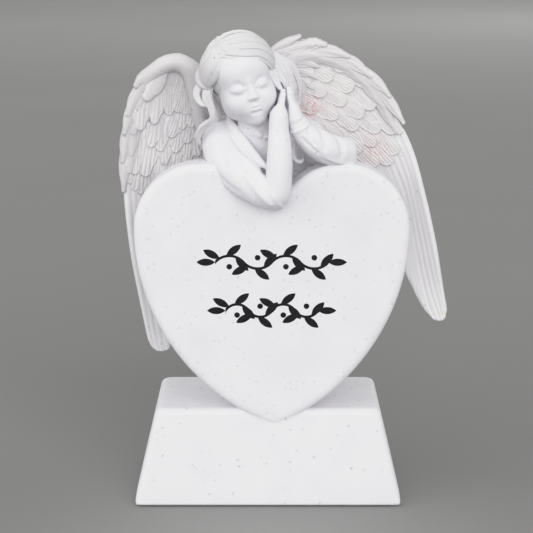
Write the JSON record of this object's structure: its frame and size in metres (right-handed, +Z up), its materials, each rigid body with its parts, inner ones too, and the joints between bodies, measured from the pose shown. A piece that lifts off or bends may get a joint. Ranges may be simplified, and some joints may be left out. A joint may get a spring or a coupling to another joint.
{
  "type": "angel figurine",
  "caption": "Cast resin angel with feathered wings leaning over an engraved heart tablet that stands in a sloping plinth.",
  "frame": {"origin": "centre of the felt pad's underside, on the surface the plinth stands on", "axes": "+Z up; the front of the heart looks along -Y; +X is the viewer's right from the front"},
  "size_m": [0.1346, 0.0585, 0.1933],
  "materials": {
    "resin": "satin white cold-cast marble resin with sparse grey and tan specks",
    "engraving_paint": "matt black enamel laid in the grooves",
    "felt": "pressed grey felt"
  },
  "bodies": {
    "root": {"plinth": "resin", "felt_pad": "felt", "heart_tablet": "resin", "upper_spray_paint": "engraving_paint", "lower_spray_paint": "engraving_paint", "gown_bodice": "resin", "gown_skirt": "resin", "neck_and_chest": "resin", "head": "resin", "hair_crown": "resin", "hair_side_lock": "resin", "hair_ringlets": "resin", "hair_back": "resin", "hair_left_tresses": "resin", "right_sleeve": "resin", "right_forearm": "resin", "right_hand": "resin", "left_sleeve": "resin", "left_hand": "resin", "right_wing_arm": "resin", "right_wing_coverts": "resin", "right_wing_flight_feathers": "resin", "left_wing_arm": "resin", "left_wing_coverts": "resin", "left_wing_flight_feathers": "resin"}
  },
  "joints": []
}
